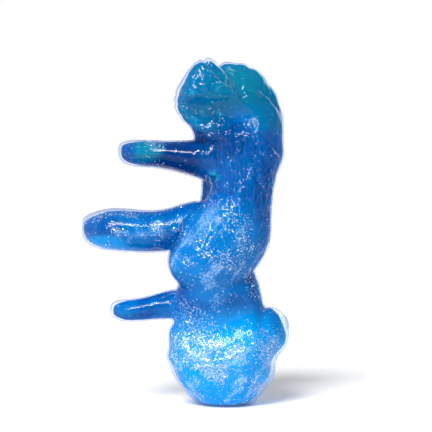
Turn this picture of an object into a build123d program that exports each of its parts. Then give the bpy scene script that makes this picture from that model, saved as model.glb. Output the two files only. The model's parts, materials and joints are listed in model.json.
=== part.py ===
from build123d import *
import math
import os

# A gel-filled stress ball, held at the moment a fist squeezes it. Millimetres, +Z up.
#
# The ball is a soft clear skin round a glitter gel, closed by a glued plug in its filling neck. Squeezed,
# the gel stands out above the fist as a folded cap, below it as a foot lobe, and between the fingers as
# three flat tongues. +X points from the fingertips to the palm, +Y from the fingertips to the knuckles.

# Driving dimensions
SKIN_WALL = 0.8
NECK_RADIUS = 6.5
NECK_DEPTH = 8.0
BORE_RADIUS = 2.6
FLANGE_RADIUS = 4.4
FLANGE_THICK = 1.2
BEAD_WIDTH = 0.6
STEM_CHAMFER = 0.6
RUNNING_GAP = 0.05
PLUG_PLACE = (14.0, 0.0)
FLAKE_RADIUS = 0.35
FLAKE_THICK = 0.08
FLAKES_PER_RING = 2
FLAKE_DEPTH = 0.8
FLAKE_MARGIN = 1.5
GOLDEN_ANGLE = 180 * (3 - math.sqrt(5))

# The fist's fingers and thumb, as round limbs along a line of points, with their radius.
FINGERS = [
    ([(-45, -14.5, 93.4), (20, -14.5, 95.7)], 6.6),
    ([(-45, -12, 71), (4.5, -12, 72.5)], 7.6),
    ([(-45, -3.5, 43), (-9.5, -3.5, 43)], 8.2),
    ([(-45, -3, 20), (-13, -3, 19.5)], 8.2),
    ([(48, -18, 41), (8, -18.5, 25.5), (-22, -16, 31)], 10),
]

# A lobe is a row of oval rings. Each ring is (place along the lobe, low and high of its first axis,
# low and high of its second). Standing lobes run up Z with rings in X and Y.
PALM_CORE = [
    (37, 3.5, 15, -10, 10),
    (39.5, -1.5, 18.5, -13.5, 12.5),
    (44, -5.6, 22, -16, 14),
    (50, -5.2, 25, -17, 15),
    (57, -2, 27.2, -16.5, 15.5),
    (64, 3, 28.2, -15, 15.5),
    (71, 8, 29.2, -13, 15.5),
    (78, 9, 31, -12, 15),
    (85, 8, 32.4, -11.5, 14.5),
    (92, 7, 33, -11, 14),
    (99, 9, 31, -9, 12),
    (103, 13, 26, -5, 8),
]
KNUCKLE_WEB = [
    (32, 2, 18, 4, 12),
    (37, 0, 21, 2, 14),
    (44, -2, 22, 2, 15),
    (54, 0, 22, 1, 16),
    (64, 4, 24, 2, 16),
    (76, 5, 26, 2, 16),
    (88, 3, 26, 1, 16),
    (96, 1, 26, 2, 14.5),
    (103, 4, 22, 3, 12),
    (106, 8, 17, 5, 10),
]
THUMB_WAIST = [
    (15, 3, 22, -8, 9),
    (20, -2, 27, -12, 13),
    (27, -4, 27.5, -13.5, 15),
    (34, -4, 26, -13.5, 15),
    (41, -2, 24, -12, 14),
    (47, 4, 20, -7, 10),
]
FOOT_LOBE = [
    (0, 6, 21.5, -7, 7),
    (1.4, 2.8, 24, -9.5, 9.5),
    (6.3, -1.9, 27.2, -12.8, 12.6),
    (12.2, -5.2, 30.2, -14.5, 14),
    (18, -6.4, 32, -15, 15),
    (23.5, -6, 31.5, -13.5, 15),
    (28, -2.5, 28, -9, 13.5),
    (30.5, 3, 22, -4, 10),
]
FOOT_SIDE_LOBE = [
    (15.5, 23.5, 28.5, -1, 5),
    (17, 20.5, 32, -5, 9),
    (21, 18.5, 34.5, -8, 12),
    (26, 18.5, 34.9, -8, 12.5),
    (30, 20.5, 33, -5, 10),
    (32, 23.5, 29.5, -1, 6),
]
TOP_CAP = [
    (90, 8, 29, -6, 11),
    (93, 3, 32, -8.5, 13),
    (98, -1, 32.8, -8.5, 14),
    (103, -0.5, 31, -8, 13.5),
    (108, 3, 28.3, -6, 11.5),
    (112, 8.5, 24, -3.5, 8),
    (114.2, 13, 20, -1, 4.5),
]
# The tongues run along X, with rings in Y and Z.
UPPER_TONGUE = [
    (-22.6, 3.5, 8, 83.5, 86.6),
    (-21.6, 1.5, 10, 81.7, 88),
    (-18.5, -1, 12.5, 80.3, 88.7),
    (-13, -3.5, 14.5, 79.7, 88.8),
    (-5, -5.5, 15.5, 78.4, 88.6),
    (4, -7, 15, 75.8, 89),
    (12, -8, 13, 73, 91),
    (20, -6, 11, 74, 92),
]
MIDDLE_TONGUE = [
    (-35, 2.5, 7.5, 57.2, 60.6),
    (-34, 0.5, 10, 55, 62.5),
    (-31.5, -2.5, 13, 52.9, 64),
    (-27, -5, 15.5, 51.6, 65.2),
    (-20, -6.5, 16.5, 50.9, 65.4),
    (-10, -7, 17, 50.7, 64.9),
    (0, -7, 16, 52.5, 67.5),
    (12, -6, 14, 56, 70),
]
LOWER_TONGUE = [
    (-25.2, 2, 5, 30, 32),
    (-24.4, 0.5, 6.8, 28.6, 33.6),
    (-21, -1.5, 8.5, 27.5, 34.6),
    (-14, -3, 10, 27.5, 35.5),
    (-5, -4, 11, 28, 37.8),
    (6, -2, 11, 28, 40),
]
# The folded flap lies in front of the cap, along a line that falls to the right.
FLAP_PLANE = Plane(origin=(7.5, -5.5, 102.5), x_dir=(0, 1, 0), z_dir=(0.63, 0, -0.777))
TOP_FLAP = [
    (-11.2, -3, 1.5, 1.5, 5),
    (-10.2, -5, 3.5, -1.8, 7.8),
    (-8.5, -6.5, 5, -6.2, 9),
    (-5, -8, 6.5, -10.3, 9.3),
    (0, -8.5, 7, -11.5, 9.3),
    (7, -8, 6.5, -10.5, 9),
    (13, -6.5, 5.5, -8, 8),
    (17, -4, 3, -5, 5),
]

LOBES = [
    (Plane.XY, PALM_CORE),
    (Plane.XY, KNUCKLE_WEB),
    (Plane.XY, THUMB_WAIST),
    (Plane.XY, FOOT_LOBE),
    (Plane.XY, FOOT_SIDE_LOBE),
    (Plane.XY, TOP_CAP),
    (FLAP_PLANE, TOP_FLAP),
    (Plane.YZ, UPPER_TONGUE),
    (Plane.YZ, MIDDLE_TONGUE),
    (Plane.YZ, LOWER_TONGUE),
]


def drawn_in(rings, wall):
    """The rings of the same lobe, drawn in by wall on every side of its box."""
    spans = []
    for low, high in ((0, 0), (1, 2), (3, 4)):
        lowest = min(ring[low] for ring in rings)
        highest = max(ring[high] for ring in rings)
        spans.append(((lowest + highest) / 2, 1 - 2 * wall / (highest - lowest)))
    axes = (0, 1, 1, 2, 2)
    return [
        tuple(spans[axis][0] + (value - spans[axis][0]) * spans[axis][1] for axis, value in zip(axes, ring))
        for ring in rings
    ]


def add_lobe(plane, rings, mode=Mode.ADD):
    """Lofts one lobe through its rings into the part that is being built."""
    ovals = []
    for place, u_low, u_high, v_low, v_high in rings:
        with BuildSketch(plane.offset(place)) as oval:
            with Locations(((u_low + u_high) / 2, (v_low + v_high) / 2)):
                Ellipse((u_high - u_low) / 2, (v_high - v_low) / 2)
        ovals.append(oval.sketch)
    loft(ovals, mode=mode)


def add_ball(wall, mode=Mode.ADD):
    """The squeezed ball with its surface wall inside the outer one: the lobes, less the fingers."""
    for plane, rings in LOBES:
        add_lobe(plane, drawn_in(rings, wall), mode)
    for points, radius in FINGERS:
        press_finger(points, radius + wall)


def press_finger(points, radius):
    """Presses a round limb along its points out of the part that is being built."""
    limb = [Vector(*point) for point in points]
    with Locations(*limb):
        Sphere(radius, mode=Mode.SUBTRACT)
    for start, end in zip(limb, limb[1:]):
        with Locations(Plane(origin=start, z_dir=end - start)):
            Cylinder(
                radius,
                (end - start).length,
                align=(Align.CENTER, Align.CENTER, Align.MIN),
                mode=Mode.SUBTRACT,
            )


def gap_to_limb(point, points):
    """The distance from a point to a limb's row of points."""
    limb = [Vector(*corner) for corner in points]
    gaps = []
    for start, end in zip(limb, limb[1:]):
        along = end - start
        share = min(1, max(0, (point - start).dot(along) / along.dot(along)))
        gaps.append((point - start - along * share).length)
    return min(gaps)


def in_open_gel(point):
    """True where a flake lies clear of every finger's groove and of the filling neck."""
    neck = Vector(*PLUG_PLACE, 0)
    off_neck = (point - neck).length > NECK_DEPTH + FLAKE_MARGIN
    off_fingers = all(
        gap_to_limb(point, points) > radius + SKIN_WALL + FLAKE_MARGIN for points, radius in FINGERS
    )
    return off_neck and off_fingers


def flake_places():
    """Planes of the glitter flakes: a few round each inner ring of each lobe, just inside the gel."""
    places = []
    for plane, rings in LOBES:
        for place, u_low, u_high, v_low, v_high in drawn_in(rings, SKIN_WALL)[1:-1]:
            middle = plane.from_local_coords(((u_low + u_high) / 2, (v_low + v_high) / 2, place))
            for _ in range(FLAKES_PER_RING):
                angle = math.radians(GOLDEN_ANGLE * len(places))
                reach_u = (u_high - u_low) / 2 * math.cos(angle) * FLAKE_DEPTH
                reach_v = (v_high - v_low) / 2 * math.sin(angle) * FLAKE_DEPTH
                outward = plane.x_dir * reach_u + plane.y_dir * reach_v
                places.append(Plane(origin=middle + outward, z_dir=outward))
    return [place for place in places if in_open_gel(place.origin)]


def save(part, name):
    """Labels a finished piece and writes its STEP file."""
    part.label = name
    export_step(part, f"parts/{name}.step")


os.makedirs("parts", exist_ok=True)
down = Plane(origin=(*PLUG_PLACE, 0), x_dir=(1, 0, 0), z_dir=(0, 0, -1))
standing = (Align.CENTER, Align.CENTER, Align.MIN)

with BuildPart() as gel_fill:
    add_ball(SKIN_WALL)
    with Locations((*PLUG_PLACE, 0)):
        Cylinder(NECK_RADIUS, NECK_DEPTH, align=standing, mode=Mode.SUBTRACT)
save(gel_fill.part, "gel_fill")

with BuildPart() as outer_skin:
    add_ball(0)
    add(gel_fill.part, mode=Mode.SUBTRACT)
    with Locations(down):
        CounterBoreHole(BORE_RADIUS, FLANGE_RADIUS + BEAD_WIDTH, FLANGE_THICK, NECK_DEPTH)
save(outer_skin.part, "outer_skin")

with BuildPart() as fill_plug:
    with BuildSketch(Plane.XY) as flange:
        with Locations(PLUG_PLACE):
            Circle(FLANGE_RADIUS)
    extrude(amount=FLANGE_THICK - RUNNING_GAP)
    with BuildSketch(Plane.XY.offset(FLANGE_THICK - RUNNING_GAP)) as stem:
        with Locations(PLUG_PLACE):
            Circle(BORE_RADIUS - RUNNING_GAP)
    extrude(amount=NECK_DEPTH - FLANGE_THICK)
    chamfer(fill_plug.edges().group_by(Axis.Z)[-1], STEM_CHAMFER)
save(fill_plug.part, "fill_plug")

with BuildPart() as plug_adhesive:
    with BuildSketch(Plane.XY) as bead:
        with Locations(PLUG_PLACE):
            Circle(FLANGE_RADIUS + BEAD_WIDTH - RUNNING_GAP)
            Circle(FLANGE_RADIUS, mode=Mode.SUBTRACT)
    extrude(amount=FLANGE_THICK - RUNNING_GAP)
save(plug_adhesive.part, "plug_adhesive")

with BuildPart() as glitter_flakes:
    for flake_plane in flake_places():
        with BuildSketch(flake_plane):
            RegularPolygon(FLAKE_RADIUS, 6)
        extrude(amount=FLAKE_THICK)
save(glitter_flakes.part, "glitter_flakes")

ball_volume = outer_skin.part.volume + gel_fill.part.volume + fill_plug.part.volume
print("ball when relaxed, diameter mm:", round(2 * (3 * ball_volume / (4 * math.pi)) ** (1 / 3), 1))
print("flakes:", len(glitter_flakes.part.solids()))
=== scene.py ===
"""The looks of a gel stress ball squeezed by a fist: clear skin, blue gel and glitter flakes.

The CAD solids give the shape. Their distance field is smoothed and meshed again for the skin and
the gel, and the new meshes are wrinkled. Lengths are in millimetres until a mesh is made, and in
metres after that. Only the stage, the lights and the camera are in metres throughout.
"""

import itertools
import json
import math

import bpy
import numpy as np
import openvdb
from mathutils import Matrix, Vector


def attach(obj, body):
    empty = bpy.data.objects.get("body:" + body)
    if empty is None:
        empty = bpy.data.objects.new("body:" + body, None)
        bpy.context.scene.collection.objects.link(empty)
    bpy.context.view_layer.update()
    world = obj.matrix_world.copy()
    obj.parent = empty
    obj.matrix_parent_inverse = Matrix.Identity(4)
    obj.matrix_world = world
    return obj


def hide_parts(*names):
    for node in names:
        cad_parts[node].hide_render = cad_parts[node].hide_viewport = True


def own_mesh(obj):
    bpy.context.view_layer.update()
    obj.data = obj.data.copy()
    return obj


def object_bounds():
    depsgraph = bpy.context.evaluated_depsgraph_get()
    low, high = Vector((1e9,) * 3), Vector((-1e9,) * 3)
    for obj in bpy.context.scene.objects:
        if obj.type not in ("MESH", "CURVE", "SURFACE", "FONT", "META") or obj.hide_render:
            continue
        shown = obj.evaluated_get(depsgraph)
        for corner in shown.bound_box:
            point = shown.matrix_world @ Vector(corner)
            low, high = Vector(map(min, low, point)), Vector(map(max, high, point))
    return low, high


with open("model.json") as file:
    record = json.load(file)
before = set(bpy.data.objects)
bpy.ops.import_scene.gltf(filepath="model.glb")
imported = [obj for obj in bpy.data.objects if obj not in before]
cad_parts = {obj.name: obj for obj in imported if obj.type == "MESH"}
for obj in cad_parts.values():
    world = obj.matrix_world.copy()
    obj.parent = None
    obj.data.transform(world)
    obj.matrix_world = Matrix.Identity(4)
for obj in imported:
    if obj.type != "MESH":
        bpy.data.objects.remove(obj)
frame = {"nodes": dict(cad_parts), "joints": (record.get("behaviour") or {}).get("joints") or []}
cad_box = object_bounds()

MM = 0.001
# The distance fields: grid step, how many steps they reach from a surface, and room round the box.
VOXEL = 0.45
BAND = 10
MARGIN = 4
# Gaps between CAD pieces up to twice this wide are closed.
CLOSING = 0.35
# Blurring rounds for every edge, and for the edges where fingers have pressed.
FINE_ROUNDS = 2
PRESSED_ROUNDS = 22
# Distances from the smoothed CAD surface to the skin's outside, the gel and the skin's inside.
OUTER_LEVEL = 0.2
GEL_DEPTH = 0.3
SKIN_WALL = 0.8
# The skin stays this far inside the CAD box.
BOX_CLEARANCE = 0.02
# The smoothing shortens the tongues, so everything left of TIP_START is stretched again.
TIP_START = -12
TIP_STRETCH = 0.035
NECK_RADIUS = 6.5
# The glitter flakes' thickness, and the sides of their outline.
FILM_THICK = 0.03
SIDES = 6
PLUG_NODES = ("fill_plug", "plug_adhesive")
BALL_NODES = ("outer_skin", "gel_fill", *PLUG_NODES)

press = frame["joints"][0]
GRIP_HEIGHT = press["deforming_nodes"][0]["fixed_end_z_m"]


# ---------------------------------------------------------------- distance fields


def cad_mesh(node):
    """Points in millimetres and triangles of a CAD node."""
    mesh = frame["nodes"][node].data
    mesh.calc_loop_triangles()
    points = np.empty(len(mesh.vertices) * 3, np.float32)
    mesh.vertices.foreach_get("co", points)
    triangles = np.empty(len(mesh.loop_triangles) * 3, np.int32)
    mesh.loop_triangles.foreach_get("vertices", triangles)
    return points.reshape(-1, 3) / np.float32(MM), triangles.reshape(-1, 3).astype(np.uint32)


def grid_cells(box, margin):
    """The first cell and the number of cells of a grid round a box that is in metres."""
    low = np.floor((np.array(box[0]) / MM - margin) / VOXEL).astype(int)
    high = np.ceil((np.array(box[1]) / MM + margin) / VOXEL).astype(int)
    return tuple(int(i) for i in low), tuple(high - low + 1)


def distances(points, triangles, quads, cells):
    """Signed distances to a closed mesh, negative inside it, on a dense grid."""
    grid = openvdb.FloatGrid.createLevelSetFromPolygons(
        points,
        triangles=triangles if len(triangles) else None,
        quads=quads if len(quads) else None,
        transform=openvdb.createLinearTransform(VOXEL),
        exBandWidth=BAND,
        inBandWidth=BAND,
    )
    values = np.empty(cells[1], np.float32)
    grid.copyToArray(values, ijk=cells[0])
    return values


def surface(values, cells, level):
    """Points, triangles and quads of the surface at one distance."""
    grid = openvdb.FloatGrid(BAND * VOXEL)
    grid.transform = openvdb.createLinearTransform(VOXEL)
    grid.copyFromArray(values, ijk=cells[0])
    return grid.convertToPolygons(isovalue=level)


def blurred(values, rounds):
    """A field smoothed with a three-point kernel along each axis, for some rounds."""
    for _ in range(rounds):
        for axis in range(3):
            values = values / 2 + (np.roll(values, 1, axis) + np.roll(values, -1, axis)) / 4
    return values


def union_of(nodes, cells):
    """The distance field of some CAD nodes together."""
    fields = []
    for node in nodes:
        points, triangles = cad_mesh(node)
        fields.append(distances(points, triangles, (), cells))
    return np.minimum.reduce(fields)


def ball_field(cells):
    """The distance field of the whole ball, skin and gel together, with no seam between them."""
    shell = surface(union_of(BALL_NODES, cells), cells, CLOSING)
    return distances(*shell, cells) + CLOSING


def coordinates(cells):
    """The x, y and z of a grid's points, in millimetres."""
    axes = np.ogrid[tuple(slice(start, start + count) for start, count in zip(*cells))]
    return [axis * VOXEL for axis in axes]


def carved(field, tool, level):
    """A field whose surface at one level leaves out the inside of a tool's field."""
    return np.maximum(field, (level - tool).astype(np.float32))


# ---------------------------------------------------------------- noise and places


def noise(points, size, seed):
    """Smooth noise from -1 to 1, with features about size millimetres across."""
    table = np.random.default_rng(seed).uniform(-1, 1, (32, 32, 32))
    scaled = points / np.array(size, float)
    cell = np.floor(scaled).astype(int)
    share = scaled - cell
    share = share * share * (3 - 2 * share)
    total = 0
    for corner in itertools.product((0, 1), repeat=3):
        weight = np.prod(np.where(corner, share, 1 - share), axis=1)
        index = (cell + corner) % 32
        total = total + weight * table[index[:, 0], index[:, 1], index[:, 2]]
    return total


def layered(points, size, seed, octaves=3):
    """Noise with finer and weaker copies of itself on top."""
    total = 0
    for octave in range(octaves):
        total = total + noise(points, np.array(size) / 2**octave, seed + octave) / 2**octave
    return total


def creases(points, size, seed, sharpness=5):
    """0 to 1, near 1 along thin winding lines."""
    return (1 - np.abs(layered(points, size, seed, 2))).clip(0, 1) ** sharpness


def near(xyz, centre, radii, softness=0.35):
    """1 inside an oval place, falling to 0 outside it, at the points with these three coordinates."""
    reach = np.sqrt(sum(((axis - c) / r) ** 2 for axis, c, r in zip(xyz, centre, radii)))
    return 1 - np.clip((reach - 1 + softness) / (2 * softness), 0, 1)


def turned(points, angle):
    """Points turned by an angle in degrees about Y, to slant a noise in the front view."""
    cos, sin = math.cos(math.radians(angle)), math.sin(math.radians(angle))
    x, y, z = points.T
    return np.stack((cos * x + sin * z, y, cos * z - sin * x), axis=1)


def along(points, path, width):
    """1 on the front of the ball on a line through (x, z) places, falling to 0 at a width beside it."""
    flat = points[:, (0, 2)]
    nearest = np.full(len(points), np.inf)
    for start, end in itertools.pairwise(np.array(path, float)):
        step = end - start
        share = ((flat - start) @ step / (step @ step)).clip(0, 1)
        nearest = np.minimum(nearest, np.linalg.norm(flat - start - share[:, None] * step, axis=1))
    front = (-points[:, 1] / 4).clip(0, 1)
    return (1 - nearest / width).clip(0, 1) ** 2 * front


def within(points, places, softness):
    """The amounts of (place, amount) rows, added up where the points lie in those places."""
    return sum(amount * near(points.T, *place, softness) for place, amount in places)


# Places on the ball, as a centre and half widths.
CORE = ((17, -8, 76), (14, 12, 17))
EGG = ((9, -14, 52), (17, 12, 17))
PALM_EDGE = ((24, -6, 62), (7, 12, 24))
FOOT = ((14, 0, 12), (24, 22, 20))
FLAP = ((4, -10, 103), (13, 9, 12))
CAP = ((18, 2, 106), (16, 16, 9))
TONGUES = ((-22, 3, 58), (24, 20, 34))
UPPER_NOSE = ((-21.5, 4, 84.5), (4.5, 14, 6))
MIDDLE_NOSE = ((-34, 4, 60), (5, 16, 8))
BUBBLES = ((9.5, -4, 76.3), (2.2, 6, 1.9))

# Where the fist's fingers and thumb have pressed, and the edges are rounder.
PRESSED = (
    ((8, -16, 95), (22, 11, 11)),
    ((5, -14, 28), (24, 11, 13)),
    ((0, -10, 72), (9, 12, 7)),
)

# Where the clear skin stands out beyond the gel, and how much further, in millimetres.
CLEAR_EDGES = (
    (UPPER_NOSE, 0.6),
    (MIDDLE_NOSE, 0.7),
    (((-26, 3, 66.5), (11, 12, 3.5)), 0.5),
    (((-24.5, 3, 32), (3, 10, 5)), 0.7),
    (((-4, -10, 106), (5, 9, 9)), 0.9),
    (((8, -6, 116), (8, 9, 3)), 0.5),
    (((29, 0, 8), (9, 16, 10)), 1.3),
    (((35, 2, 28), (4.5, 12, 5)), 1.6),
    (((-4, 0, 9), (4, 16, 9)), 0.6),
)

# Where the glitter is thick, and by how much.
GLITTERY = (
    (((14, 0, 8), (24, 22, 15)), 0.8),
    (((14, 0, 26), (22, 22, 14)), 0.15),
    (((6, -14, 51), (15, 12, 14)), 0.32),
    (((-17, 3, 60), (15, 14, 6.5)), 0.5),
    (((-11, 3, 83.5), (8, 14, 5)), 0.3),
    (FLAP, 0.03),
)

# Sharp folds in the front through (x, z) places, with their half width and depth. The last is a ridge.
FOLDS = (
    (((-6, 48), (-3, 55), (0, 60.5), (3.5, 66), (6.5, 69.5), (10, 71.5), (15, 70)), 1.6, 0.9),
    (((6, 115), (10, 110.5), (14.5, 106), (19, 102.5)), 1.6, 1.1),
    (((25, 90), (28, 87), (32, 82)), 1.4, 0.8),
    (((22, 92), (24, 84), (23, 76), (26, 68)), 1.3, 0.6),
    (((2, 88.5), (8, 91), (14, 91.5), (20, 94)), 1.4, 0.5),
    (((20, 105.5), (24, 104), (27.5, 101.5), (30, 98)), 1.3, -0.6),
)

# Small swellings on the palm edge, the front lobe, the cap and the foot, as a centre, radius and rise.
BUMPS = (
    ((32, -4, 83), 3.5, 1.0),
    ((27, -3, 54), 5.0, 1.0),
    ((-5, -12, 46.5), 4.0, 1.6),
    ((13, 4, 114.5), 2.2, 0.9),
    ((24, 5, 110), 2.0, 0.8),
    ((29.5, 3, 104), 1.8, 0.5),
    ((27.5, 0, 9), 2.4, 0.9),
    ((31, 2, 14), 1.8, -0.9),
    ((-5, -4, 16), 1.6, 0.8),
    # The bubbles.
    ((9.5, -4, 76.5), 1.1, 1.0),
    ((8.0, -4, 77.4), 0.9, 0.8),
    ((10.8, -4, 77.8), 0.9, 0.8),
    ((9.2, -4, 74.9), 0.8, 0.7),
)


def wrinkle(points):
    """How far the skin stands out or in at each point, in millimetres."""
    core = near(points.T, *CORE)
    egg = near(points.T, *EGG)
    palm = near(points.T, *PALM_EDGE)
    foot = near(points.T, *FOOT)
    flap = near(points.T, *FLAP)
    upright = creases(turned(points, 8), (1.6, 2.2, 7.0), 11)
    slanting = creases(turned(points, -28), (1.7, 2.5, 7.5), 21)
    crumpled = creases(points, (3.4, 3.4, 3.4), 31, 4)
    palm_lines = creases(turned(points, 35), (9.0, 6.0, 16.0), 81, 14)
    swell = layered(points, 9.0, 41)
    lumps = layered(points, 3.2, 51)
    calm = 1 - 0.75 * near(points.T, *TONGUES)
    height = 0.18 * swell * calm + 0.7 * palm
    height = height - 0.8 * upright * core
    height = height - 0.5 * slanting * np.maximum(palm, 0.45 * egg)
    height = height + 0.12 * lumps * np.maximum(egg, foot)
    height = height - 0.55 * crumpled * np.maximum(flap, 0.6 * near(points.T, *CAP))
    height = height - 0.16 * crumpled * foot
    back = (points[:, 1] / 6).clip(0, 1)
    height = height - back * (0.55 * palm_lines + 0.25 * upright)
    for path, width, depth in FOLDS:
        height = height - depth * along(points, path, width)
    for centre, radius, rise in BUMPS:
        height = height + rise * near(points.T, centre, (radius, 4 * radius, radius), 0.8)
    return height * (1 - near(points.T, plug_centre, plug_size, 0.3))


# ---------------------------------------------------------------- meshes


def new_object(name, points, faces):
    """A smooth-shaded mesh object from points in millimetres."""
    mesh = bpy.data.meshes.new(name)
    mesh.from_pydata((points * MM).tolist(), [], [list(map(int, face)) for face in faces])
    mesh.update()
    mesh.shade_smooth()
    piece = bpy.data.objects.new(name, mesh)
    bpy.context.scene.collection.objects.link(piece)
    return piece


def normals_of(points, faces):
    """Unit normals at the points of a mesh."""
    mesh = bpy.data.meshes.new("scratch")
    mesh.from_pydata(points.tolist(), [], faces.tolist())
    mesh.update()
    normals = np.empty(len(points) * 3, np.float32)
    mesh.vertex_normals.foreach_get("vector", normals)
    bpy.data.meshes.remove(mesh)
    return normals.reshape(-1, 3)


def skin_surface(field, cells, level):
    """Wrinkled points and quads of the ball's surface at one distance."""
    points, _, quads = surface(field, cells, level)
    quads = quads.astype(int)
    normals = normals_of(points, quads)
    moved = points + normals * wrinkle(points)[:, None]
    moved[:, 0] -= TIP_STRETCH * (TIP_START - moved[:, 0]).clip(0)
    return moved, quads


def under_clear_edges(points, quads):
    """Draws a surface further in where the clear skin is thicker."""
    depth = within(points, CLEAR_EDGES, 0.6)
    return points - normals_of(points, quads) * depth[:, None], quads


def softened(values, cells):
    """The field with its edges rounded, most where fingers have pressed."""
    fine = blurred(values, FINE_ROUNDS)
    round_edged = blurred(fine, PRESSED_ROUNDS)
    pressed = sum(near(coordinates(cells), *place) for place in PRESSED).clip(0, 1)
    return fine + (round_edged - fine) * pressed.astype(np.float32)


def neck_field(cells):
    """The distance field of the filling neck, an upright cylinder round the plug."""
    x, y, z = coordinates(cells)
    plug_x, plug_y = plug_centre[:2]
    return np.maximum(np.hypot(x - plug_x, y - plug_y) - NECK_RADIUS, z - plug_size[2])


cells = grid_cells(cad_box, MARGIN)
plug_points = cad_mesh("fill_plug")[0]
plug_size = np.ptp(plug_points, axis=0)
plug_centre = plug_points.min(axis=0) + plug_size / 2
field = softened(ball_field(cells), cells)
neck = neck_field(cells)
lowest, highest = (np.array(corner) / MM for corner in cad_box)

outer_field = carved(field, union_of(PLUG_NODES, cells), OUTER_LEVEL)
outer_points, outer_quads = skin_surface(outer_field, cells, OUTER_LEVEL)
outer_points = outer_points.clip(lowest + BOX_CLEARANCE, highest - BOX_CLEARANCE)
inner_field = carved(field, neck, -SKIN_WALL)
inner_points, inner_quads = under_clear_edges(*skin_surface(inner_field, cells, -SKIN_WALL))
gel_field = carved(field, neck + GEL_DEPTH, -GEL_DEPTH)
gel_points, gel_quads = under_clear_edges(*skin_surface(gel_field, cells, -GEL_DEPTH))

skin_points = np.vstack((outer_points, inner_points))
skin_quads = np.vstack((outer_quads, inner_quads[:, ::-1] + len(outer_points)))
skin = new_object("clear_skin", skin_points, skin_quads)
gel = new_object("gel_body", gel_points, gel_quads)


def flake_density(points):
    """How thick the glitter lies, from 0 to 1."""
    clouds = layered(turned(points, -40), (9.0, 7.0, 5.0), 61)
    amount = 0.012 + within(points, GLITTERY, 0.5)
    amount = (amount * (0.08 + 2 * clouds.clip(0))).clip(0.003, 1)
    return amount * (1 - near(points.T, plug_centre, plug_size * (1.2, 1.2, 1.5), 0.3))


def scattered(points, quads, count, rng):
    """Random places on a mesh, with their normals, thicker where flake_density is higher."""
    a, b, c, d = (points[quads[:, i]] for i in range(4))
    centre = (a + b + c + d) / 4
    normal = np.cross(c - a, d - b)
    area = np.linalg.norm(normal, axis=1)
    normal = normal / area[:, None]
    weight = area * flake_density(centre)
    chosen = rng.choice(len(quads), count, p=weight / weight.sum())
    u, v = rng.random((2, count, 1))
    near_side = (1 - u) * a[chosen] + u * b[chosen]
    far_side = (1 - u) * d[chosen] + u * c[chosen]
    return (1 - v) * near_side + v * far_side, normal[chosen]


def flake_mesh(name, count, radius, spread, lift, tilt, seed):
    """Thin hexagonal flakes just at the gel's surface, tipped at random. Each is a closed prism.

    The spread is that of the radius's logarithm, and lift is how far out the flakes may lie.
    """
    rng = np.random.default_rng(seed)
    place, normal = scattered(gel_points, gel_quads, count, rng)
    facing = normal + rng.normal(0, tilt, (count, 3))
    facing = facing / np.linalg.norm(facing, axis=1)[:, None]
    side = np.cross(facing, rng.normal(0, 1, (count, 3)))
    side = side / np.linalg.norm(side, axis=1)[:, None]
    across = np.cross(facing, side)
    size = radius * np.exp(rng.normal(0, spread, (count, 1)))
    middle = place + normal * rng.uniform(lift[0], lift[1], (count, 1))
    corners = []
    for height in (0, FILM_THICK):
        for turn in range(SIDES):
            angle = math.radians(turn * 360 / SIDES)
            arm = math.cos(angle) * side + math.sin(angle) * across
            corners.append(middle + height * facing + size * arm)
    points = np.stack(corners, axis=1).reshape(-1, 3)
    faces = []
    for first in range(0, 2 * SIDES * count, 2 * SIDES):
        bottom = list(range(first, first + SIDES))
        top = [corner + SIDES for corner in bottom]
        faces += [bottom[::-1], top]
        faces += [[bottom[i - 1], bottom[i], top[i], top[i - 1]] for i in range(SIDES)]
    flakes = new_object(name, points, faces)
    flakes.data.shade_flat()
    return flakes


FINE = {"count": 7000, "radius": 0.125, "spread": 0.3, "lift": (0.0, 0.1), "tilt": 0.35}
COARSE = {"count": 900, "radius": 0.18, "spread": 0.2, "lift": (0.02, 0.14), "tilt": 0.3}
fine_flakes = flake_mesh("fine_glitter", seed=71, **FINE)
more_fine_flakes = flake_mesh("more_fine_glitter", seed=73, **FINE)
coarse_flakes = flake_mesh("coarse_glitter", seed=72, **COARSE)


# ---------------------------------------------------------------- materials


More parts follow.
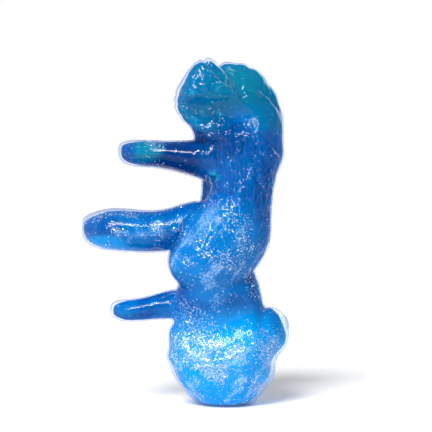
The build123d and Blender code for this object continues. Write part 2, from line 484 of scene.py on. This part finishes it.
class Nodes:
    """A material's node tree, with short ways to add and join nodes."""

    def __init__(self, name):
        self.material = bpy.data.materials.new(name)
        self.material.use_nodes = True
        self.tree = self.material.node_tree
        self.shader = self.tree.nodes["Principled BSDF"]
        self.coords = self.add("ShaderNodeTexCoord").outputs["Object"]

    def add(self, kind, **inputs):
        """A new node, with its inputs set or linked by name."""
        node = self.tree.nodes.new(kind)
        for name, value in inputs.items():
            self.join(node, name.replace("_", " "), value)
        return node

    def join(self, node, name, value):
        self.feed(node.inputs[name], value)

    def feed(self, socket, value):
        """Links a socket to another's value, or sets it."""
        if isinstance(value, bpy.types.NodeSocket):
            self.tree.links.new(value, socket)
        else:
            socket.default_value = value

    def mapped(self, size, turn=0.0):
        """Object coordinates turned about Y and divided by size millimetres."""
        node = self.add("ShaderNodeMapping", Vector=self.coords)
        node.vector_type = "TEXTURE"
        node.inputs["Rotation"].default_value = (0, math.radians(turn), 0)
        node.inputs["Scale"].default_value = [s * MM for s in size]
        return node.outputs["Vector"]

    def noise(self, size, turn=0.0, detail=3.0, roughness=0.55):
        """Noise from 0 to 1 with features about size millimetres across."""
        node = self.add("ShaderNodeTexNoise", Vector=self.mapped(size, turn))
        node.inputs["Scale"].default_value = 1.0
        node.inputs["Detail"].default_value = detail
        node.inputs["Roughness"].default_value = roughness
        return node.outputs["Fac"]

    def ramp(self, value, low, high):
        """A value stretched so that low becomes 0 and high becomes 1."""
        node = self.add("ShaderNodeMapRange", Value=value)
        node.interpolation_type = "SMOOTHSTEP"
        node.inputs["From Min"].default_value = low
        node.inputs["From Max"].default_value = high
        return node.outputs["Result"]

    def place(self, centre, radii, soft=0.35):
        """1 inside an oval place given in millimetres, fading to 0 outside it."""
        node = self.add("ShaderNodeMapping", Vector=self.coords)
        node.vector_type = "TEXTURE"
        node.inputs["Location"].default_value = [c * MM for c in centre]
        node.inputs["Scale"].default_value = [r * MM for r in radii]
        length = self.add("ShaderNodeVectorMath")
        length.operation = "LENGTH"
        self.tree.links.new(node.outputs["Vector"], length.inputs[0])
        return self.ramp(length.outputs["Value"], 1 + soft, 1 - soft)

    def math(self, operation, *values):
        """The result of one arithmetic node."""
        node = self.add("ShaderNodeMath")
        node.operation = operation
        for socket, value in zip(node.inputs, values):
            self.feed(socket, value)
        return node.outputs[0]

    def times(self, a, b):
        return self.math("MULTIPLY", a, b)

    def power(self, value, exponent):
        return self.math("POWER", value, exponent)

    def most(self, a, b):
        return self.math("MAXIMUM", a, b)

    def blend(self, share, a, b):
        """Colour a, or b where share is 1."""
        node = self.add("ShaderNodeMix")
        node.data_type = "RGBA"
        factor, colour_a, colour_b = (node.inputs[i] for i in (0, 6, 7))
        self.feed(factor, share)
        for socket, value in ((colour_a, a), (colour_b, b)):
            self.feed(socket, (*value, 1) if isinstance(value, tuple) else value)
        return node.outputs[2]

    def mix(self, share, a, b):
        """Shader a, or b where share is 1."""
        node = self.add("ShaderNodeMixShader")
        for socket, value in zip(node.inputs, (share, a, b)):
            self.feed(socket, value)
        return node.outputs[0]

    def set(self, **inputs):
        """Sets or links the shader's own sockets by name."""
        for name, value in inputs.items():
            if isinstance(value, tuple) and len(value) == 3 and name != "Subsurface_Radius":
                value = (*value, 1)
            self.join(self.shader, name.replace("_", " "), value)

    def bump(self, height, strength, distance):
        """Bumps in the shader's surface, up to a distance in millimetres."""
        node = self.add("ShaderNodeBump", Height=height, Strength=strength, Distance=distance * MM)
        self.tree.links.new(node.outputs["Normal"], self.shader.inputs["Normal"])


# The palette, in linear light: the gel's blues from the foot up to the core, then its teals.
AZURE = (0.000, 0.185, 0.500)
BRIGHT = (0.000, 0.350, 0.780)
DEEP = (0.000, 0.083, 0.320)
NAVY = (0.000, 0.034, 0.165)
TEAL = (0.001, 0.185, 0.290)
DARK_TEAL = (0.000, 0.140, 0.270)
# A cyan for painted glints on the flap's facets and the painted sheen of the bubbles.
GLINT_CYAN = (0.000, 0.380, 0.560)
# A paler blue for painted highlights, laid in streaks.
HIGHLIGHT_BLUE = (0.000, 0.240, 0.600)
# Glitter too fine for its own flakes: a frost that is partly the glitter's own pale colour and partly
# painted sheen, and dots of painted glints.
FROST_AND_SHEEN = (0.340, 0.620, 0.900)
PAINTED_GLINT = (0.600, 0.820, 1.000)
SILVER = (0.900, 0.970, 1.000)
# The clear skin: its tint edge on and at the tongues' tips, and its milky colour.
CLEAR_TINT = (0.620, 0.750, 1.000)
NOSE_TINT = (0.800, 0.880, 0.970)
LAVENDER = (0.700, 0.800, 1.000)


def skin_material():
    """A clear, glossy film, tinted and milky only where it is thick or seen edge on."""
    nodes = Nodes("clear_elastomer")
    edge = nodes.add("ShaderNodeLayerWeight", Blend=0.5).outputs["Facing"]
    milky = nodes.times(nodes.power(edge, 9), 0.6)
    streaks = nodes.ramp(nodes.noise((0.9, 2, 4.5), -35, 4), 0.35, 0.6)
    for place, depth in CLEAR_EDGES:
        thick = nodes.times(nodes.times(nodes.place(*place), nodes.power(edge, 2)), streaks)
        milky = nodes.most(milky, nodes.times(thick, 0.8 * depth))
    nodes.set(Base_Color=LAVENDER, Roughness=0.14, IOR=1.4)
    glow = nodes.add("ShaderNodeBsdfTranslucent", Color=(*LAVENDER, 1)).outputs[0]
    milk = nodes.mix(0.5, nodes.shader.outputs[0], glow)
    tint = nodes.blend(nodes.power(edge, 1.3), (1.0, 1.0, 1.0), CLEAR_TINT)
    for nose in (UPPER_NOSE, MIDDLE_NOSE):
        tint = nodes.blend(nodes.place(*nose), tint, NOSE_TINT)
    clear = nodes.add("ShaderNodeBsdfTransparent", Color=tint).outputs[0]
    body = nodes.mix(milky, clear, milk)
    ripple = nodes.add("ShaderNodeBump", Height=nodes.noise((1.2, 1.2, 1.5), detail=4), Strength=0.35)
    ripple.inputs["Distance"].default_value = 0.2 * MM
    gloss = nodes.add("ShaderNodeBsdfGlossy", Normal=ripple.outputs["Normal"])
    gloss.inputs["Roughness"].default_value = 0.09
    outside = nodes.math("SUBTRACT", 1.0, nodes.add("ShaderNodeNewGeometry").outputs["Backfacing"])
    mirror = nodes.math("MULTIPLY_ADD", nodes.power(edge, 5), 0.7, 0.02)
    shown = nodes.mix(nodes.times(mirror, outside), body, gloss.outputs[0])
    nodes.tree.links.new(shown, nodes.tree.nodes["Material Output"].inputs["Surface"])
    return nodes.material


# The gel's colours place by place, each laid over the ones before by a share.
GEL_PLACES = (
    (CORE, DEEP, 0.8),
    (((12, -8, 88), (10, 12, 7)), NAVY, 0.6),
    (EGG, AZURE, 0.9),
    (((30, -4, 66), (6, 14, 26)), DEEP, 0.6),
    (FOOT, BRIGHT, 1.0),
    (FLAP, DARK_TEAL, 0.7),
    (CAP, TEAL, 0.95),
    (((28, 0, 98), (8, 16, 8)), DARK_TEAL, 0.8),
    (((-3, 0, 82), (10, 14, 8)), NAVY, 1.0),
    (((-14, 3, 85), (7, 14, 4)), TEAL, 0.95),
    (UPPER_NOSE, DEEP, 0.95),
    # Painted light: a bright strip along the middle tongue's lower edge, for light glowing through the
    # gel from below.
    (((-27, 0, 53.5), (8, 14, 3)), BRIGHT, 0.8),
    (((-8, 0, 66), (14, 14, 3)), DEEP, 0.7),
)
# Where clouds of fine glitter make the gel frosty, with painted sheen and painted glints on them, and
# by how much.
FROST_AND_GLINT_PLACES = (
    (((14, 0, 8), (26, 22, 15)), 0.9),
    (((6, -14, 51), (15, 12, 15)), 0.45),
    (((-18, 0, 59), (12, 14, 4)), 0.35),
)
# Where paler streaks of painted highlight run through the gel, slanted like the wrinkles, with their
# size and their slant in degrees.
HIGHLIGHT_STREAKS = (
    (CORE, (1.6, 2.2, 7), 8),
    (EGG, (2, 2.5, 8), -28),
    (PALM_EDGE, (1.2, 2, 6), -15),
)


def gel_material():
    """Translucent blue gel, with its places' colours and a painted glow along a tongue's lower edge,
    frosty glitter clouds with painted sheen and glints, streaks of painted highlight, facets of painted
    glints, and bubbles with a painted sheen.
    """
    nodes = Nodes("blue_gel")
    colour = nodes.blend(nodes.ramp(nodes.noise((11, 9, 14)), 0.35, 0.7), DEEP, AZURE)
    for place, tint, share in GEL_PLACES:
        colour = nodes.blend(nodes.times(nodes.place(*place), share), colour, tint)
    # The fine glitter's clouds, partly its own pale colour and partly painted sheen, and dots of
    # painted glints in them.
    frost_and_sheen_cloud = nodes.ramp(nodes.noise((9, 7, 5), -40, 5), 0.49, 0.66)
    grains = nodes.add("ShaderNodeTexVoronoi", Vector=nodes.mapped((0.36, 0.36, 0.36)))
    grains.inputs["Scale"].default_value = 1.0
    glint_speckle = nodes.math("MULTIPLY_ADD", frost_and_sheen_cloud, 0.4, grains.outputs["Color"])
    glint_dots = nodes.ramp(glint_speckle, 0.9, 0.98)
    for place, share in FROST_AND_GLINT_PLACES:
        here = nodes.times(nodes.place(*place), share)
        colour = nodes.blend(nodes.times(nodes.times(frost_and_sheen_cloud, here), 0.4), colour, FROST_AND_SHEEN)
        colour = nodes.blend(nodes.times(nodes.times(glint_dots, here), 0.8), colour, PAINTED_GLINT)
    # Painted highlights: paler streaks over the core, the front lobe and the palm edge.
    for place, size, turn in HIGHLIGHT_STREAKS:
        highlight_streak = nodes.ramp(nodes.noise(size, turn, 4, 0.6), 0.56, 0.68)
        colour = nodes.blend(nodes.times(nodes.times(highlight_streak, nodes.place(*place)), 0.3), colour, HIGHLIGHT_BLUE)
    # Painted glints: cyan on the flap's facets.
    glint_facets = nodes.ramp(nodes.noise((3, 3, 2.2), 30, 4, 0.6), 0.52, 0.66)
    colour = nodes.blend(nodes.times(nodes.times(glint_facets, nodes.place(*FLAP)), 0.45), colour, GLINT_CYAN)
    # The bubbles: cyan spots of painted sheen.
    bubble_sheen = nodes.ramp(nodes.noise((1.1, 1.1, 0.9), 0, 4, 0.7), 0.46, 0.56)
    colour = nodes.blend(nodes.times(nodes.times(bubble_sheen, nodes.place(*BUBBLES)), 0.8), colour, GLINT_CYAN)
    nodes.set(Base_Color=colour, Roughness=0.35, IOR=1.4, Specular_IOR_Level=0.0, Subsurface_Weight=0.4)
    nodes.set(Subsurface_Radius=(0.2, 0.6, 1.0), Subsurface_Scale=0.003)
    nodes.bump(nodes.noise((0.8, 0.8, 0.8), detail=3), 0.4, 0.2)
    return nodes.material


def flake_material(name, tint):
    """Metallised film, each flake between a tint and SILVER."""
    nodes = Nodes(name)
    island = nodes.add("ShaderNodeNewGeometry").outputs["Random Per Island"]
    nodes.set(Base_Color=nodes.blend(island, tint, SILVER), Metallic=0.6, Roughness=0.3)
    return nodes.material


def rubber_material(name, tint, size):
    """Satin rubber or cured adhesive, slightly uneven in tone over size millimetres."""
    nodes = Nodes(name)
    tone = nodes.blend(nodes.noise((size, size, size)), tint, tuple(0.8 * channel for channel in tint))
    nodes.set(Base_Color=tone, Roughness=0.38, Subsurface_Weight=0.3, Subsurface_Scale=0.001)
    nodes.set(Subsurface_Radius=(0.6, 0.8, 1.0))
    nodes.bump(nodes.noise((size / 4, size / 4, size / 4)), 0.3, 0.05)
    return nodes.material


def paint(piece, material):
    piece.data.materials.clear()
    piece.data.materials.append(material)


paint(skin, skin_material())
paint(gel, gel_material())
fine_film = flake_material("fine_flake_film", (0.10, 0.45, 0.90))
paint(fine_flakes, fine_film)
paint(more_fine_flakes, fine_film)
paint(coarse_flakes, flake_material("coarse_flake_film", (0.45, 0.75, 1.0)))
paint(frame["nodes"]["fill_plug"], rubber_material("plug_rubber", (0.45, 0.62, 0.85), 3))
paint(frame["nodes"]["plug_adhesive"], rubber_material("cured_adhesive", (0.75, 0.80, 0.88), 1.5))


# ---------------------------------------------------------------- riding

for piece, slot, node in (
    (skin, "clear_skin", "outer_skin"),
    (gel, "blue_gel", "gel_fill"),
    (fine_flakes, "silver_glitter", "glitter_flakes"),
    (more_fine_flakes, "silver_glitter", "glitter_flakes"),
    (coarse_flakes, "silver_glitter", "glitter_flakes"),
):
    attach(piece, "ball")
    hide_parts(node)
    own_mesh(piece)


# ---------------------------------------------------------------- stage, light and camera


# How bright the surroundings are level with the object, above and below it, and in front of it.
HORIZON = 0.95
ZENITH = 0.4
DARK_FRONT = 0.15
FLOOR_RADIUS = 4
FLOOR_DROP = 0.0002
# The camera's view, and the place that it looks at squarely from the front.
VIEW_WIDTH = 0.1426
VIEW_CENTRE = (0.0102, -0.008, 0.063)
LENS = 100
SENSOR = 36


def stage_floor():
    """A plain round floor, bright enough to run into the white behind it."""
    mesh = bpy.data.meshes.new("floor")
    rim = []
    for turn in range(0, 360, 6):
        angle = math.radians(turn)
        rim.append((FLOOR_RADIUS * math.cos(angle), FLOOR_RADIUS * math.sin(angle), -FLOOR_DROP))
    mesh.from_pydata(rim, [], [list(range(len(rim)))])
    floor = bpy.data.objects.new("floor", mesh)
    bpy.context.scene.collection.objects.link(floor)
    nodes = Nodes("floor_paint")
    nodes.set(Base_Color=(0.96, 0.96, 0.97), Roughness=0.9, Emission_Strength=0.06)
    nodes.set(Emission_Color=(1.0, 1.0, 1.0))
    paint(floor, nodes.material)


def area_light(name, place, size, power):
    """A soft panel that faces the object's middle."""
    light = bpy.data.lights.new(name, "AREA")
    light.shape = "RECTANGLE"
    light.size, light.size_y = size
    light.energy = power
    lamp = bpy.data.objects.new(name, light)
    bpy.context.scene.collection.objects.link(lamp)
    lamp.location = place
    aim = Vector((0, 0, GRIP_HEIGHT)) - Vector(place)
    lamp.rotation_mode = "QUATERNION"
    lamp.rotation_quaternion = aim.to_track_quat("-Z", "Y")


def faded(tree, value, span, levels):
    """A value in a span turned into a level between two."""
    fade = tree.nodes.new("ShaderNodeMapRange")
    fade.interpolation_type = "SMOOTHSTEP"
    tree.links.new(value, fade.inputs["Value"])
    for name, number in zip(("From Min", "From Max", "To Min", "To Max"), (*span, *levels)):
        fade.inputs[name].default_value = number
    return fade.outputs["Result"]


def studio_world():
    """White behind the object and beside it, and dimmer above, below and in front.

    That is for what it lights and reflects in. What shows behind it is plain white.
    """
    world = bpy.data.worlds.new("studio")
    world.use_nodes = True
    bpy.context.scene.world = world
    tree = world.node_tree
    backdrop = tree.nodes["Background"]
    backdrop.inputs["Color"].default_value = (1, 1, 1, 1)
    parts = tree.nodes.new("ShaderNodeSeparateXYZ")
    tree.links.new(tree.nodes.new("ShaderNodeTexCoord").outputs["Generated"], parts.inputs[0])
    height = tree.nodes.new("ShaderNodeMath")
    height.operation = "ABSOLUTE"
    tree.links.new(parts.outputs["Z"], height.inputs[0])
    level = faded(tree, height.outputs[0], (0.1, 0.45), (HORIZON, ZENITH))
    front = faded(tree, parts.outputs["Y"], (-0.9, -0.3), (DARK_FRONT, 1))
    dimmed = tree.nodes.new("ShaderNodeMath")
    dimmed.operation = "MULTIPLY"
    tree.links.new(level, dimmed.inputs[0])
    tree.links.new(front, dimmed.inputs[1])
    surround = tree.nodes.new("ShaderNodeBackground")
    tree.links.new(dimmed.outputs[0], surround.inputs["Strength"])
    seen = tree.nodes.new("ShaderNodeLightPath")
    either = tree.nodes.new("ShaderNodeMixShader")
    tree.links.new(seen.outputs["Is Camera Ray"], either.inputs[0])
    tree.links.new(surround.outputs[0], either.inputs[1])
    tree.links.new(backdrop.outputs[0], either.inputs[2])
    tree.links.new(either.outputs[0], tree.nodes["World Output"].inputs["Surface"])


def soft_sun(direction, power, spread):
    """Even light from one side, over the object and the whole floor."""
    light = bpy.data.lights.new("sky_panel", "SUN")
    light.energy = power
    light.angle = math.radians(spread)
    lamp = bpy.data.objects.new("sky_panel", light)
    bpy.context.scene.collection.objects.link(lamp)
    lamp.rotation_mode = "QUATERNION"
    lamp.rotation_quaternion = Vector(direction).to_track_quat("-Z", "Y")


def set_camera():
    """A level camera straight in front."""
    camera = bpy.data.cameras.new("camera")
    camera.lens = LENS
    camera.sensor_width = SENSOR
    seat = bpy.data.objects.new("camera", camera)
    bpy.context.scene.collection.objects.link(seat)
    x, y, z = VIEW_CENTRE
    seat.location = (x, y - VIEW_WIDTH * LENS / SENSOR, z)
    seat.rotation_euler = (math.pi / 2, 0, 0)
    bpy.context.scene.camera = seat


stage_floor()
studio_world()
soft_sun(direction=(0.35, 0.8, -1), power=3.0, spread=25)
area_light("front_panel", place=(-0.4, -0.6, 0.45), size=(0.09, 0.3), power=2.0)
area_light("back_panel", place=(0.4, 0.5, 0.4), size=(0.4, 0.4), power=1.2)
set_camera()
bpy.context.scene.view_settings.view_transform = "Standard"
